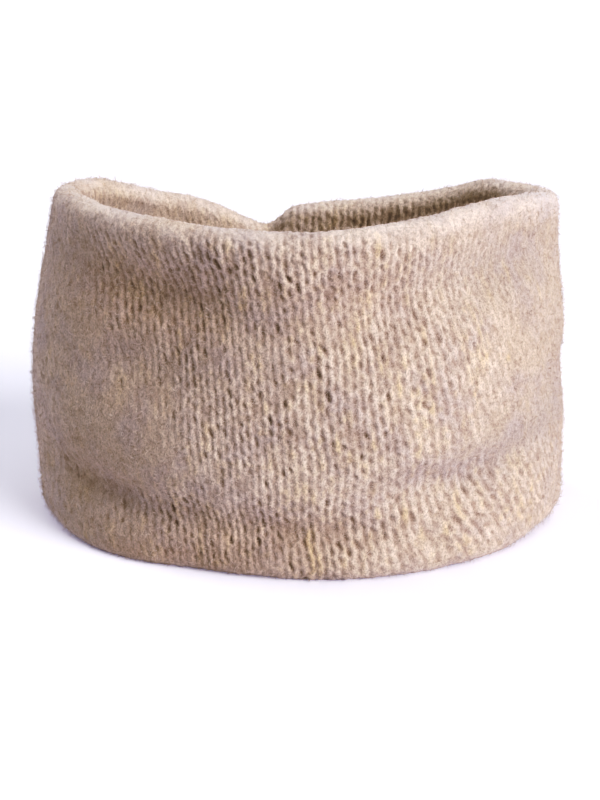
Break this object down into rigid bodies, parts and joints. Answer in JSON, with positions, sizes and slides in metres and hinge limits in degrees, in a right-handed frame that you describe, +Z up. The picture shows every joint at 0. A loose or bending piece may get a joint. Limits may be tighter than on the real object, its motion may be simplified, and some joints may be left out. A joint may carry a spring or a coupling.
{
  "type": "ear warmer headband",
  "caption": "Wide knitted ear warmer headband: a doubled tube of felted stockinette with soft rolled edges, an open middle for the head and a gathered seam at the back.",
  "frame": {"origin": "on the floor, below the middle of the band's bounding box as it stands on its lower edge", "axes": "+Z up through the open middle, -Y out of the front face, +X to the band's end on the right as seen from the front"},
  "size_m": [0.1922, 0.126, 0.1201],
  "materials": {
    "wool_knit": "felted stockinette in a light oatmeal marl, matt and hairy"
  },
  "bodies": {
    "root": {"band": "wool_knit"}
  },
  "joints": []
}
